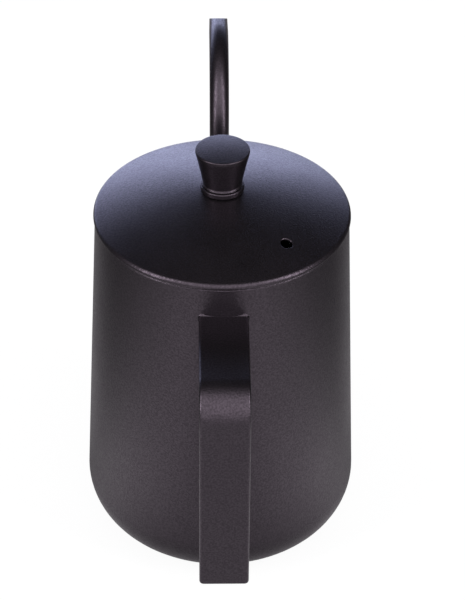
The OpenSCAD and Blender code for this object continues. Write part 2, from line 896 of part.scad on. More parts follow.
body_shell();
mouth_ring();
spout_tube();
spout_collar();
handle_strap();
handle_bracket();
handle_screws();
floor_plate();
heat_spreader();
heating_element();
element_terminals();
temp_probe();
probe_gasket();
probe_nut();
probe_lead();
thermal_fuse();
cutout_housing();
bimetal_disc();
cutout_plunger();
contact_leaf();
coupler_socket();
contact_pin();
contact_ring_inner();
contact_ring_outer();
lead_live();
lead_neutral();
lead_earth();
base_studs();
base_cover();
base_screws();
foot_pads();
lid_seal();
lid_disc();
lid_inner();
knob_collar();
knob();
knob_screw();
knob_washer();
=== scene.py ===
"""Matt black gooseneck kettle jug: finishes, soft-edged surfaces and a small studio.

Metres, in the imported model's own frame: the body's axis is Z, the jug stands on z = 0,
the spout points to +Y and the handle to -Y.
"""
import math

import bpy
import numpy as np
from mathutils import Matrix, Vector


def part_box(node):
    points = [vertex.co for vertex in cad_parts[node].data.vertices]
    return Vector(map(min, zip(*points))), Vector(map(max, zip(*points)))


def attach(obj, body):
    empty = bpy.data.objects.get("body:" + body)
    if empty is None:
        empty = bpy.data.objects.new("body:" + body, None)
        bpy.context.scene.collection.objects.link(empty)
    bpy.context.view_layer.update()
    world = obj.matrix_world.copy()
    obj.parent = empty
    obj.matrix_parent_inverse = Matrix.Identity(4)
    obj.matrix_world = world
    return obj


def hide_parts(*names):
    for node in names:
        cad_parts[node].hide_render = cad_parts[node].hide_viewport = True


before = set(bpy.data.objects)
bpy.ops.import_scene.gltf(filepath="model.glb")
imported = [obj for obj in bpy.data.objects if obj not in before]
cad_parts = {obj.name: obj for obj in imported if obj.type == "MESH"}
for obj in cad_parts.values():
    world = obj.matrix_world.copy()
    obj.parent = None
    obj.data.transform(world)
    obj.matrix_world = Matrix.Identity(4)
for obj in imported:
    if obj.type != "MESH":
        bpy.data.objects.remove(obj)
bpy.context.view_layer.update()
MM = 0.001

# ---- driving sizes, in metres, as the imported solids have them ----
# (the knob's waist is 0.4 mm wider here, and the lid's lip is raised by LIP_RISE)

BODY_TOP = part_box("body_shell")[1].z
MOUTH_R = 98.9 / 2 * MM
FOOT_R = 113.8 / 2 * MM
WALL_RUN = (FOOT_R - MOUTH_R) / BODY_TOP
WALL_T = 1.0 * MM
RIM_Z = BODY_TOP - WALL_T / 2
RIM_PROUD = 0.03 * MM
BASE_R = 20.2 * MM
BASE_X, BASE_Z = FOOT_R - BASE_R * (WALL_RUN + math.hypot(1, WALL_RUN)), BASE_R

LID_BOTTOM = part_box("lid_disc")[0].z
LID_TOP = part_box("lid_disc")[1].z
LID_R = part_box("lid_disc")[1].x
LID_T = 0.8 * MM
LID_BAND = 0.85 * MM
LID_EDGE_R = 1.8 * MM
LIP_RISE = 0.3 * MM
DOME_R = 200 * MM
DOME_SLOPE = math.radians(18.6)
VENT_R, VENT_EDGE_R = 2.3 * MM, 0.35 * MM
VENT_CELLS, VENT_CELL = 8, 1.15 * MM
VENT_OFFSET = 36.9 * MM
VENT_ANGLE = math.radians(40 - 90)
SCREW_HOLE_R = 2.05 * MM
LID_SIDES = 192

KNOB_Z, KNOB_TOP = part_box("knob")[0].z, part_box("knob")[1].z
KNOB_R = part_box("knob")[1].x
WAIST_R = 7.5 * MM
KNOB_BEAD_R, KNOB_BEAD_IN, KNOB_EDGE_R = 0.35 * MM, 0.05 * MM, 0.5 * MM
KNOB_DISH, KNOB_HOLLOW, KNOB_BORE = 0.5 * MM, 0.12 * MM, 10 * MM
KNOB_SIDES = 128
COLLAR_LOW, COLLAR_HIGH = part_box("knob_collar")
COLLAR_EDGE_R = 0.5 * MM
SOFT_EDGE_R = 0.1 * MM

ROOT_Z = 41 * MM
ROOT_Y = FOOT_R - WALL_RUN * ROOT_Z - WALL_T / 2
ROOT_ANGLE, NECK_ANGLE, TIP_ANGLE, CUT_ANGLE = np.radians([12, 80, -3, 60])
ROOT_LEN, NECK_LEN, TIP_LEN = 7 * MM, 69 * MM, 13.5 * MM
LOW_BEND_R, TOP_BEND_R = 19 * MM, 36 * MM
ROOT_TUBE_R, LOW_TUBE_R, NECK_TUBE_R, TIP_TUBE_R = 8 * MM, 6.5 * MM, 4.15 * MM, 3.95 * MM
TUBE_T = 0.6 * MM
TUBE_SIDES = 72
FAIRING_LEN, FAIRING_FLARE = 4 * MM, 2.5 * MM

STRAP_HALF_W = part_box("handle_strap")[1].x
STRAP_T = 3 * MM
STRAP_EDGE_R = 1 * MM
SHELF_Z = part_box("handle_strap")[1].z
SHELF_START = 58 * MM
WELD_R, WELD_SINK = 0.9 * MM, 0.3 * MM
BEND_Y, BEND_R = 85.7 * MM, 13 * MM
GRIP_LEAN = math.radians(4)
GRIP_LEN = 74.4 * MM
GRIP_CORNER_R = 1.6 * MM

# ---- the coating and the bare sheet ----

COATING_COLOUR = "#0c0b0c"
COATING_ROUGHNESS = 0.36
GRAIN_DEPTH = 0.08 * MM
COATING_LEVEL = 0.7
COATING_TINT = (1.0, 0.8, 1.0, 1.0)
GRAIN_SIZE, CLOUD_SIZE = 0.7 * MM, 14 * MM
STEEL_COLOUR = "#b9b8b6"

# ---- camera ----

IMAGE_LONG_SIDE = 600
FOCAL_LENGTH = 2000
SENSOR = 36
CAMERA_PLACE = np.array([-0.01067, -0.6367, 0.5938])
CAMERA_HEADING, CAMERA_PITCH, CAMERA_ROLL = math.radians(1.356), math.radians(-37.53), 0.0115


def facing(right, up, back, place):
    """A matrix whose columns are three square directions and a place."""
    columns = (*right, 0), (*up, 0), (*back, 0), (*place, 1)
    return Matrix([[*row] for row in zip(*columns)])


def make_camera():
    """Stands behind the handle and looks down on the jug, a hair to the left of its middle."""
    level = np.array([math.cos(CAMERA_HEADING), -math.sin(CAMERA_HEADING), 0])
    ahead = np.array([math.sin(CAMERA_HEADING) * math.cos(CAMERA_PITCH),
                      math.cos(CAMERA_HEADING) * math.cos(CAMERA_PITCH), math.sin(CAMERA_PITCH)])
    above = np.cross(level, ahead)
    right = level * math.cos(CAMERA_ROLL) + above * math.sin(CAMERA_ROLL)
    up = above * math.cos(CAMERA_ROLL) - level * math.sin(CAMERA_ROLL)
    data = bpy.data.cameras.new("camera")
    data.sensor_width = SENSOR
    data.lens = SENSOR * FOCAL_LENGTH / IMAGE_LONG_SIDE
    data.clip_start, data.clip_end = 0.01, 50
    camera = bpy.data.objects.new("camera", data)
    bpy.context.scene.collection.objects.link(camera)
    camera.matrix_world = facing(right, up, -ahead, CAMERA_PLACE)
    bpy.context.scene.camera = camera


# ---- making a mesh from arrays ----

def quads_between(first, second):
    """Quads between two equal rings of vertex numbers, from k to k + 1 on both."""
    ahead_first, ahead_second = np.roll(first, -1, -1), np.roll(second, -1, -1)
    return np.stack([first, ahead_first, ahead_second, second], -1).reshape(-1, 4)


def signed_volume(points, faces):
    """Volume of a closed mesh: a sum of tetrahedra from the origin, positive if faces look out."""
    total = 0.0
    for corners in faces:
        for k in range(1, corners.shape[1] - 1):
            a, b, c = points[corners[:, 0]], points[corners[:, k]], points[corners[:, k + 1]]
            total += np.einsum("ij,ij->i", a, np.cross(b, c)).sum() / 6
    return total


def add_piece(name, points, faces, body, material, replaced):
    """Puts a closed surface into the scene, facing outwards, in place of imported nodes."""
    if signed_volume(points, faces) < 0:
        faces = [corners[:, ::-1] for corners in faces]
    mesh = bpy.data.meshes.new(name)
    mesh.from_pydata(points.tolist(), [], sum([corners.tolist() for corners in faces], []))
    mesh.polygons.foreach_set("use_smooth", np.ones(len(mesh.polygons), bool))
    mesh.materials.append(material)
    mesh.update()
    piece = bpy.data.objects.new(name, mesh)
    bpy.context.scene.collection.objects.link(piece)
    if replaced:
        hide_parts(*replaced)
    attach(piece, body)
    return piece


def skin(rows, start="open", end="open"):
    """Vertices and faces of a surface whose rows are closed rings of points, shape (n, m, 3).

    An end can be a "point", where a fan joins the ring to its own middle, or "joined", where
    the last ring runs on into the first.
    """
    n, m = rows.shape[:2]
    numbers = np.arange(n * m).reshape(n, m)
    points = rows.reshape(-1, 3)
    faces = [quads_between(numbers[:-1], numbers[1:])]
    if end == "joined":
        faces.append(quads_between(numbers[-1], numbers[0]))
    fans = []
    for ring, kind, flip in ((0, start, True), (n - 1, end, False)):
        if kind != "point":
            continue
        hub = len(points)
        points = np.vstack([points, rows[ring].mean(0)])
        fan = np.stack([numbers[ring], np.roll(numbers[ring], -1), np.full(m, hub)], -1)
        fans.append(fan[:, ::-1] if flip else fan)
    return points, faces + fans


def rounded_line(corners, radii, ease=0.12 * MM, step=math.radians(9)):
    """An outline in two dimensions whose corners are arcs.

    Each arc of radius r touches both sides at r * tan(turn / 2) from the corner. A point
    `ease` beyond each end of an arc keeps the shading of the flat stretches flat.
    """
    corners = np.asarray(corners, float)
    line = [corners[:1]]
    for before, corner, after, r in zip(corners[:-2], corners[1:-1], corners[2:], radii):
        come = (corner - before) / np.linalg.norm(corner - before)
        go = (after - corner) / np.linalg.norm(after - corner)
        turn = math.acos(np.clip(come @ go, -1, 1))
        inward = (go - come * math.cos(turn)) / math.sin(turn)
        start = corner - come * r * math.tan(turn / 2)
        a = np.linspace(0, turn, max(3, round(turn / step) + 1))[:, None]
        arc = start + r * (np.sin(a) * come + (1 - np.cos(a)) * inward)
        line += [arc[:1] - come * ease, arc, arc[-1:] + go * ease]
    line.append(corners[-1:])
    return np.vstack(line)


def turned(outline, sides):
    """Rings of a lathe-turned shape: (radius, height) carried round the Z axis."""
    a = np.arange(sides) / sides * math.tau
    r, z = outline[:, :1], outline[:, 1:]
    return np.stack([r * np.cos(a), r * np.sin(a), z + 0 * a], -1)


def wall_radius(z):
    """Outside radius of the body's straight wall: a cone from FOOT_R down at z = 0."""
    return FOOT_R - WALL_RUN * z


def reach_wall(points, along):
    """Moves points along a direction in the YZ plane until they lie on the body's wall.

    The distance t is a root of x^2 + (y + t*dy)^2 = (FOOT_R - WALL_RUN * (z + t*dz))^2, the
    one nearer to each point.
    """
    x, y, z = np.moveaxis(points, -1, 0)
    dy, dz = along[1], along[2]
    radius = wall_radius(z)
    a = dy * dy - (WALL_RUN * dz) ** 2
    b = 2 * (y * dy + radius * WALL_RUN * dz)
    c = x * x + y * y - radius * radius
    root = np.sqrt(b * b - 4 * a * c)
    both = np.stack([(-b - root), (-b + root)]) / (2 * a)
    t = np.where(np.abs(both[0]) < np.abs(both[1]), both[0], both[1])
    return points + t[..., None] * np.asarray(along)


# ---- materials ----

def linear(colour):
    """sRGB hex text to a linear RGBA tuple: the standard curve's inverse on each channel."""
    c = np.array([int(colour[i:i + 2], 16) for i in (1, 3, 5)]) / 255
    return (*np.where(c > 0.04045, ((c + 0.055) / 1.055) ** 2.4, c / 12.92), 1.0)


def add(tree, kind, settings=(), **links):
    """Adds a shader node, sets properties and sockets by name, and links sockets to outputs."""
    node = tree.nodes.new("ShaderNode" + kind)
    for key, value in dict(settings).items():
        if isinstance(key, str) and hasattr(node, key):
            setattr(node, key, value)
        else:
            node.inputs[key].default_value = value
    for key, output in links.items():
        socket = node.inputs[int(key[1:])] if key[0] == "i" and key[1:].isdigit() else node.inputs[key]
        tree.links.new(socket, output)
    return node


def new_material(name):
    """An empty node material, its principled shader and its object coordinates."""
    material = bpy.data.materials.new(name)
    material.use_nodes = True
    tree = material.node_tree
    tree.nodes.clear()
    shader = add(tree, "BsdfPrincipled")
    output = add(tree, "OutputMaterial", Surface=shader.outputs["BSDF"])
    place = add(tree, "TexCoord").outputs["Object"]
    return material, tree, shader, place


def grain(tree, place, size, depth, detail=1.0):
    """A fine bump: noise with cells of a real size in metres and a real depth in metres."""
    noise = add(tree, "TexNoise", {"Scale": 1 / size, "Detail": detail}, Vector=place)
    bump = add(tree, "Bump", {"Strength": 1.0, "Distance": depth}, Height=noise.outputs["Fac"])
    return noise, bump


def matt_coating(name, colour, roughness):
    """Matt enamel paint baked on steel: a near-black satin film with a fine sprayed texture.

    The eye sees a soft, broad sheen of the room on a dark, faintly purple ground, and a sandy
    grain of about 0.7 mm, which is coarser than the real 0.2 mm so that it shows. The grain is a
    bump, a change of roughness, and up to a third less gloss where flakes of pigment show.
    """
    material, tree, shader, place = new_material(name)
    noise, bump = grain(tree, place, GRAIN_SIZE, GRAIN_DEPTH, 2.0)
    cloud = add(tree, "TexNoise", {"Scale": 1 / CLOUD_SIZE, "Detail": 2.0}, Vector=place)
    flecks = add(tree, "MapRange", {"From Min": 0.3, "From Max": 0.7, "To Min": -0.05, "To Max": 0.05},
                 Value=noise.outputs["Fac"])
    rough = add(tree, "MapRange", {"To Min": roughness - 0.04, "To Max": roughness + 0.04},
                Value=cloud.outputs["Fac"])
    uneven = add(tree, "Math", {"operation": "ADD"}, i0=rough.outputs["Result"],
                 i1=flecks.outputs["Result"])
    tint = add(tree, "Mix", {"data_type": "RGBA"}, Factor=noise.outputs["Fac"])
    ground = np.array(linear(colour))
    tint.inputs["A"].default_value = tuple(ground * (0.75, 0.75, 0.75, 1))
    tint.inputs["B"].default_value = tuple(np.minimum(ground * (1.3, 1.25, 1.3, 1), 1))
    tree.links.new(shader.inputs["Base Color"], tint.outputs["Result"])
    flakes = add(tree, "MapRange", {"From Min": 0.35, "From Max": 0.65, "To Min": 0.0, "To Max": 0.35},
                 Value=noise.outputs["Fac"])
    tree.links.new(shader.inputs["Metallic"], flakes.outputs["Result"])
    tree.links.new(shader.inputs["Roughness"], uneven.outputs["Value"])
    tree.links.new(shader.inputs["Normal"], bump.outputs["Normal"])
    shader.inputs["Specular IOR Level"].default_value = COATING_LEVEL
    shader.inputs["Specular Tint"].default_value = COATING_TINT
    return material


def coating_on_steel(name, colour, roughness, steel):
    """The body's own finish: matt enamel outside, the bare spun steel of the sheet inside.

    The paint ends in mid-wall. The depth below the outer skin is (cone radius - radius) on the
    straight wall, and (BASE_R - distance from the arc's centre) round the bottom's edge.
    """
    material = matt_coating(name, colour, roughness)
    tree = material.node_tree
    shader = tree.nodes["Principled BSDF"]
    place = tree.nodes["Texture Coordinate"].outputs["Object"]
    axes = add(tree, "SeparateXYZ", Vector=place)
    flat = add(tree, "CombineXYZ", X=axes.outputs["X"], Y=axes.outputs["Y"])
    radius = add(tree, "VectorMath", {"operation": "LENGTH"}, i0=flat.outputs["Vector"])
    cone = add(tree, "Math", {"operation": "MULTIPLY_ADD", 1: -WALL_RUN, 2: FOOT_R},
               i0=axes.outputs["Z"])
    wall_depth = add(tree, "Math", {"operation": "SUBTRACT"}, i0=cone.outputs["Value"],
                     i1=radius.outputs["Value"])
    section = add(tree, "CombineXYZ", X=radius.outputs["Value"], Y=axes.outputs["Z"])
    reach = add(tree, "VectorMath", {"operation": "DISTANCE", 1: (BASE_X, BASE_Z, 0)},
                i0=section.outputs["Vector"])
    base_depth = add(tree, "Math", {"operation": "SUBTRACT", 0: BASE_R}, i1=reach.outputs["Value"])
    low = add(tree, "Math", {"operation": "LESS_THAN", 1: BASE_Z}, i0=axes.outputs["Z"])
    depth = add(tree, "Mix", {"data_type": "FLOAT"}, Factor=low.outputs["Value"])
    tree.links.new(depth.inputs["A"], wall_depth.outputs["Value"])
    tree.links.new(depth.inputs["B"], base_depth.outputs["Value"])
    bare = add(tree, "Math", {"operation": "GREATER_THAN", 1: WALL_T / 2}, i0=depth.outputs["Result"])
    painted = shader.inputs["Base Color"].links[0].from_socket
    metal = add(tree, "Mix", {"data_type": "RGBA"}, Factor=bare.outputs["Value"])
    metal.inputs["B"].default_value = linear(steel)
    tree.links.new(metal.inputs["A"], painted)
    tree.links.new(shader.inputs["Base Color"], metal.outputs["Result"])
    flakes = shader.inputs["Metallic"].links[0].from_socket
    metallic = add(tree, "Math", {"operation": "MAXIMUM"}, i0=bare.outputs["Value"], i1=flakes)
    tree.links.new(shader.inputs["Metallic"], metallic.outputs["Value"])
    return material


def brushed_steel(name, colour, roughness):
    """18/8 stainless sheet, spun and brushed: bright metal with hair-fine rings round the axis.

    The rings are noise on (radius, height) with 0.35 mm cells, stretched along the turn.
    """
    material, tree, shader, place = new_material(name)
    axes = add(tree, "SeparateXYZ", Vector=place)
    flat = add(tree, "CombineXYZ", X=axes.outputs["X"], Y=axes.outputs["Y"])
    radius = add(tree, "VectorMath", {"operation": "LENGTH"}, i0=flat.outputs["Vector"])
    turn = add(tree, "Math", {"operation": "ARCTAN2"}, i0=axes.outputs["Y"], i1=axes.outputs["X"])
    short = add(tree, "Math", {"operation": "MULTIPLY", 1: 2 * MM}, i0=turn.outputs["Value"])
    rings = add(tree, "CombineXYZ", X=radius.outputs["Value"], Y=axes.outputs["Z"],
                Z=short.outputs["Value"])
    noise, bump = grain(tree, rings.outputs["Vector"], 0.35 * MM, 0.004 * MM, 2.0)
    rough = add(tree, "MapRange", {"To Min": roughness - 0.08, "To Max": roughness + 0.08},
                Value=noise.outputs["Fac"])
    shader.inputs["Base Color"].default_value = linear(colour)
    shader.inputs["Metallic"].default_value = 1.0
    tree.links.new(shader.inputs["Roughness"], rough.outputs["Result"])
    tree.links.new(shader.inputs["Normal"], bump.outputs["Normal"])
    return material


def cast_metal(name, colour, roughness, spread, size=1.2 * MM, depth=0.01 * MM):
    """Small drawn, plated or pressed metal parts: a plain metal with faint handling marks."""
    material, tree, shader, place = new_material(name)
    noise, bump = grain(tree, place, size, depth, 3.0)
    tint = add(tree, "Mix", {"data_type": "RGBA"}, Factor=noise.outputs["Fac"])
    tint.inputs["A"].default_value = linear(colour)
    tint.inputs["B"].default_value = linear(spread)
    rough = add(tree, "MapRange", {"To Min": roughness - 0.1, "To Max": roughness + 0.1},
                Value=noise.outputs["Fac"])
    shader.inputs["Metallic"].default_value = 1.0
    tree.links.new(shader.inputs["Base Color"], tint.outputs["Result"])
    tree.links.new(shader.inputs["Roughness"], rough.outputs["Result"])
    tree.links.new(shader.inputs["Normal"], bump.outputs["Normal"])
    return material


def moulded(name, colour, roughness, size=0.5 * MM, depth=0.012 * MM, ior=1.5):
    """Injection-moulded plastic or moulded rubber: even colour and a fine spark-eroded grain."""
    material, tree, shader, place = new_material(name)
    noise, bump = grain(tree, place, size, depth, 1.0)
    cloud = add(tree, "TexNoise", {"Scale": 1 / (8 * MM), "Detail": 2.0}, Vector=place)
    tint = add(tree, "Mix", {"data_type": "RGBA"}, Factor=cloud.outputs["Fac"])
    ground = np.array(linear(colour))
    tint.inputs["A"].default_value = tuple(ground * (0.88, 0.88, 0.88, 1))
    tint.inputs["B"].default_value = tuple(np.minimum(ground * (1.12, 1.12, 1.12, 1), 1))
    rough = add(tree, "MapRange", {"To Min": roughness - 0.06, "To Max": roughness + 0.06},
                Value=cloud.outputs["Fac"])
    tree.links.new(shader.inputs["Base Color"], tint.outputs["Result"])
    tree.links.new(shader.inputs["Roughness"], rough.outputs["Result"])
    tree.links.new(shader.inputs["Normal"], bump.outputs["Normal"])
    shader.inputs["IOR"].default_value = ior
    return material


def make_materials():
    """One finish for each material slot of the record, by the slot's name."""
    return {
        "black_coating": matt_coating("matt_black_enamel", COATING_COLOUR, COATING_ROUGHNESS),
        "bare_steel": brushed_steel("brushed_stainless_steel", STEEL_COLOUR, 0.30),
        "zinc_steel": cast_metal("zinc_plated_steel", "#a9abae", 0.34, "#c2c3c6"),
        "spreader_aluminium": cast_metal("rolled_aluminium", "#c4c5c7", 0.42, "#d2d3d5", 2 * MM),
        "element_sheath": cast_metal("heat_tinted_steel", "#8f8a80", 0.38, "#a79b86", 3 * MM),
        "contact_brass": cast_metal("stamped_brass", "#c9a760", 0.28, "#d8b978"),
        "red_silicone": moulded("red_silicone", "#9d3a2a", 0.55, ior=1.41),
        "black_silicone": moulded("black_silicone", "#242425", 0.60, ior=1.41),
        "black_plastic": moulded("black_polypropylene", "#1d1d1f", 0.45),
        "cream_plastic": moulded("cream_polyamide", "#d9d2bd", 0.45),
        "white_insulation": moulded("white_silicone_lead", "#dedcd4", 0.50, ior=1.41),
        "brown_insulation": moulded("brown_pvc", "#5d3320", 0.40),
        "blue_insulation": moulded("blue_pvc", "#2c4f96", 0.40),
        "green_insulation": moulded("green_pvc", "#3c8a3a", 0.40),
    }


def finish_nodes(finishes):
    """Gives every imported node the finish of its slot, and the body one that is bare inside."""
    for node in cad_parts.values():
        for held in node.material_slots:
            held.material = finishes[held.material.name.split(".")[0]]
    body = coating_on_steel("matt_black_enamel_on_steel", COATING_COLOUR, COATING_ROUGHNESS,
                            STEEL_COLOUR)
    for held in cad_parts["body_shell"].material_slots:
        held.material = body
    return body


# ---- handle ----

def strap_ring(half_w, half_t, edge_r):
    """Rounded rectangles, one a row: four quarter circles of edge_r on half_w by half_t.

    Gives (across, out) with shape (rows, points); extra points flank every arc.
    """
    quarter = np.concatenate([[0], np.linspace(0, math.pi / 2, 7), [math.pi / 2]])
    a = (np.arange(4)[:, None] * math.pi / 2 + quarter).ravel()
    # the first point of a quarter lies back along its straight side, the last one beyond it
    pull = np.tile(np.concatenate([[1], np.zeros(7), [-1]]) * 0.3 * MM, 4)
    side = np.repeat([1, -1, -1, 1], len(quarter))
    face = np.repeat([1, 1, -1, -1], len(quarter))
    half_w, half_t, edge_r = half_w[:, None], half_t[:, None], edge_r[:, None]
    across = side * (half_w - edge_r) + edge_r * np.cos(a) + pull * np.sin(a)
    out = face * (half_t - edge_r) + edge_r * np.sin(a) - pull * np.cos(a)
    return across, out


def strap_rows():
    """The strap: a rounded rectangle carried along a shelf, a bend and a straight grip.

    The path's heading is level, turns down evenly by 90 degrees less the lean over the bend,
    and stays there; positions are the running sum of (cos, sin) of the heading. The first
    rows lie on the body's wall with a small weld fillet, and the last rows round the end off.
    """
    mid_r = BEND_R - STRAP_T / 2
    turn = math.pi / 2 - GRIP_LEAN
    bend_len = mid_r * turn
    shelf_len = BEND_Y - SHELF_START
    full = shelf_len + bend_len + GRIP_LEN
    round_a = np.linspace(0, math.pi / 2, 9)
    end_in = GRIP_CORNER_R * (1 - np.sin(round_a))
    s = np.concatenate([np.linspace(0, shelf_len, 12)[:-1],
                        shelf_len + np.linspace(0, bend_len, 41)[:-1],
                        shelf_len + bend_len + np.linspace(0, GRIP_LEN - GRIP_CORNER_R - 0.3 * MM, 40),
                        full - end_in])
    fine = np.linspace(0, full, 4001)
    heading = -np.interp(fine, [0, shelf_len, shelf_len + bend_len, full], [0, 0, turn, turn])
    mid = (heading[1:] + heading[:-1]) / 2
    step = fine[1]
    out = SHELF_START + np.concatenate([[0], np.cumsum(np.cos(mid)) * step])
    high = SHELF_Z - STRAP_T / 2 + np.concatenate([[0], np.cumsum(np.sin(mid)) * step])
    out, high, heading = (np.interp(s, fine, v) for v in (out, high, heading))
    to_end = np.maximum(full - s, 0)
    near = np.clip(GRIP_CORNER_R - to_end, 0, None)
    half_w = STRAP_HALF_W - (GRIP_CORNER_R - np.sqrt(GRIP_CORNER_R ** 2 - near ** 2))
    near = np.clip(STRAP_EDGE_R - to_end, 0, None)
    half_t = STRAP_T / 2 - (STRAP_EDGE_R - np.sqrt(STRAP_EDGE_R ** 2 - near ** 2))
    across, up = strap_ring(half_w, half_t, np.minimum(STRAP_EDGE_R, half_t * 0.98))
    run = np.stack([across,
                    -(out[:, None] - np.sin(heading)[:, None] * up),
                    high[:, None] + np.cos(heading)[:, None] * up], -1)

    # rows on the wall: the fillet swells the section by r - sqrt(r^2 - (r - d)^2), less at its sides
    d = WELD_R * (1 - np.cos(np.linspace(0, math.pi / 2, 6)))
    swell = WELD_R - np.sqrt(np.maximum(WELD_R ** 2 - (WELD_R - d) ** 2, 0))
    across, up = strap_ring(STRAP_HALF_W + 0.4 * swell, STRAP_T / 2 + swell, STRAP_EDGE_R + swell)
    on_wall = np.stack([across, -wall_radius(SHELF_Z) + 0 * across, SHELF_Z - STRAP_T / 2 + up], -1)
    on_wall = reach_wall(on_wall, (0, 1, 0)) - np.array([0, 1, 0]) * d[:, None, None]
    sunk = on_wall[:1] + np.array([0, WELD_SINK, 0])
    return np.concatenate([sunk, on_wall, run])


def make_strap(finish):
    """The handle's strap, closed at both ends."""
    points, faces = skin(strap_rows(), start="point", end="point")
    return add_piece("handle", points, faces, "kettle", finish, ["handle_strap"])


# ---- spout ----

def spout_course(count):
    """Centres, headings and radii of the spout along its length, tip straight left out.

    The heading is steady on straights and turns evenly on the two bends; centres are its
    running sum; the outside radius runs linearly between the named ones and is eased over
    6 mm, so that no ring shows where a cone ends.
    """
    bends = LOW_BEND_R * (NECK_ANGLE - ROOT_ANGLE), TOP_BEND_R * (NECK_ANGLE - TIP_ANGLE)
    knots = np.cumsum([0, ROOT_LEN, bends[0], NECK_LEN, bends[1], TIP_LEN])
    fine = np.linspace(0, knots[-1], 6001)
    headings = [ROOT_ANGLE, ROOT_ANGLE, NECK_ANGLE, NECK_ANGLE, TIP_ANGLE, TIP_ANGLE]
    heading = np.interp(fine, knots, headings)
    mid = (heading[1:] + heading[:-1]) / 2
    y = ROOT_Y + np.concatenate([[0], np.cumsum(np.cos(mid)) * fine[1]])
    z = ROOT_Z + np.concatenate([[0], np.cumsum(np.sin(mid)) * fine[1]])
    radii = [ROOT_TUBE_R, LOW_TUBE_R, LOW_TUBE_R, NECK_TUBE_R, NECK_TUBE_R, TIP_TUBE_R]
    r = np.interp(fine, knots, radii)
    window = np.hanning(int(6 * MM / fine[1]) | 1)
    padded = np.pad(r, len(window) // 2, mode="reflect", reflect_type="odd")
    r = np.convolve(padded, window / window.sum(), "valid")
    s = np.linspace(0, knots[-1] - TIP_LEN, count)
    return (np.interp(s, fine, v) for v in (y, z, heading, r)), (y[-1], z[-1], heading[-1], r[-1])


def spout_rings(y, z, heading, r):
    """Circles of radius r square to the heading, their first point to +X."""
    a = np.arange(TUBE_SIDES) / TUBE_SIDES * math.tau
    y, z, heading, r = (np.atleast_1d(v)[:, None] for v in (y, z, heading, r))
    return np.stack([r * np.cos(a) + 0 * y, y - r * np.sin(a) * np.sin(heading),
                     z + r * np.sin(a) * np.cos(heading)], -1)


def make_spout(finish):
    """A tapered tube with its bore: out along the skin, round the cut lip, back down the bore."""
    (y, z, heading, r), (tip_y, tip_z, tip_heading, tip_r) = spout_course(150)
    along_tip = np.array([0, math.cos(tip_heading), math.sin(tip_heading)])
    mouth_way = np.array([0, math.cos(CUT_ANGLE), math.sin(CUT_ANGLE)])
    tip = np.array([0, tip_y, tip_z])

    def cut_ring(radius, back):
        """A ring on the slanted mouth plane, drawn back along the tube by a distance."""
        ring = spout_rings(tip_y, tip_z, tip_heading, radius)[0]
        reach = (tip - ring) @ mouth_way / (along_tip @ mouth_way)
        return ring + along_tip * (reach - back)[:, None]

    lip = TUBE_T / 2
    blend = np.linspace(0, 1, 9)[1:, None, None]
    outer = spout_rings(y, z, heading, r)
    inner = spout_rings(y, z, heading, r - TUBE_T)
    outer_end, inner_end = cut_ring(tip_r, lip), cut_ring(tip_r - TUBE_T, lip)
    a = np.linspace(0, math.pi, 9)[1:-1]
    lips = np.stack([cut_ring(tip_r - lip + lip * math.cos(k), lip - lip * math.sin(k)) for k in a])
    root_dir = np.array([0, math.cos(ROOT_ANGLE), math.sin(ROOT_ANGLE)])
    keep = 3
    foot_out = reach_wall(outer[keep], root_dir)
    foot_in = reach_wall(inner[keep], root_dir)
    start = np.linspace(0, 1, 5)[:-1, None, None]
    rows = np.concatenate([
        foot_out + (outer[keep] - foot_out) * start,
        outer[keep:],
        outer[-1] + (outer_end - outer[-1]) * blend,
        lips,
        (inner[-1] + (inner_end - inner[-1]) * blend)[::-1],
        inner[keep:][::-1],
        (foot_in + (inner[keep] - foot_in) * start)[::-1],
    ])
    points, faces = skin(rows, end="joined")
    return add_piece("spout", points, faces, "kettle", finish, ["spout_tube"])


def make_fairing(finish):
    """The smoothed weld at the spout's root: a hollow fillet between the tube and the wall.

    Its section is a quarter of a superellipse from the tube, FAIRING_LEN out, to the wall,
    FAIRING_FLARE wider than the tube; behind it the ring closes at the tube's own foot.
    """
    root_dir = np.array([0, math.cos(ROOT_ANGLE), math.sin(ROOT_ANGLE)])
    shrink = (ROOT_TUBE_R - LOW_TUBE_R) / ROOT_LEN

    def ring(radius):
        return spout_rings(ROOT_Y, ROOT_Z, ROOT_ANGLE, radius)[0]

    foot = reach_wall(ring(ROOT_TUBE_R), root_dir)
    t = np.linspace(0, math.pi / 2, 14)
    wide = FAIRING_FLARE * (1 - np.sin(t))
    far = FAIRING_LEN * (1 - np.cos(t))
    rows = [reach_wall(ring(ROOT_TUBE_R + w - f * shrink), root_dir) + root_dir * f
            for w, f in zip(wide, far)]
    points, faces = skin(np.stack([*rows, foot]), end="joined")
    return add_piece("spout_fairing", points, faces, "kettle", finish,
                     ["spout_collar"])


# ---- lid ----

EDGE_X = LID_R - LID_EDGE_R
EDGE_Z = LID_BOTTOM + LID_BAND
DOME_X = EDGE_X - (DOME_R - LID_EDGE_R) * math.sin(DOME_SLOPE)
DOME_Z = EDGE_Z - (DOME_R - LID_EDGE_R) * math.cos(DOME_SLOPE)


def dome_height(r, inset=0.0):
    """Height of the lid's dome at a radius: a circle of DOME_R about (DOME_X, DOME_Z)."""
    high = DOME_Z + np.sqrt((DOME_R - inset) ** 2 - (r - DOME_X) ** 2)
    return np.minimum(high, LID_TOP - inset)


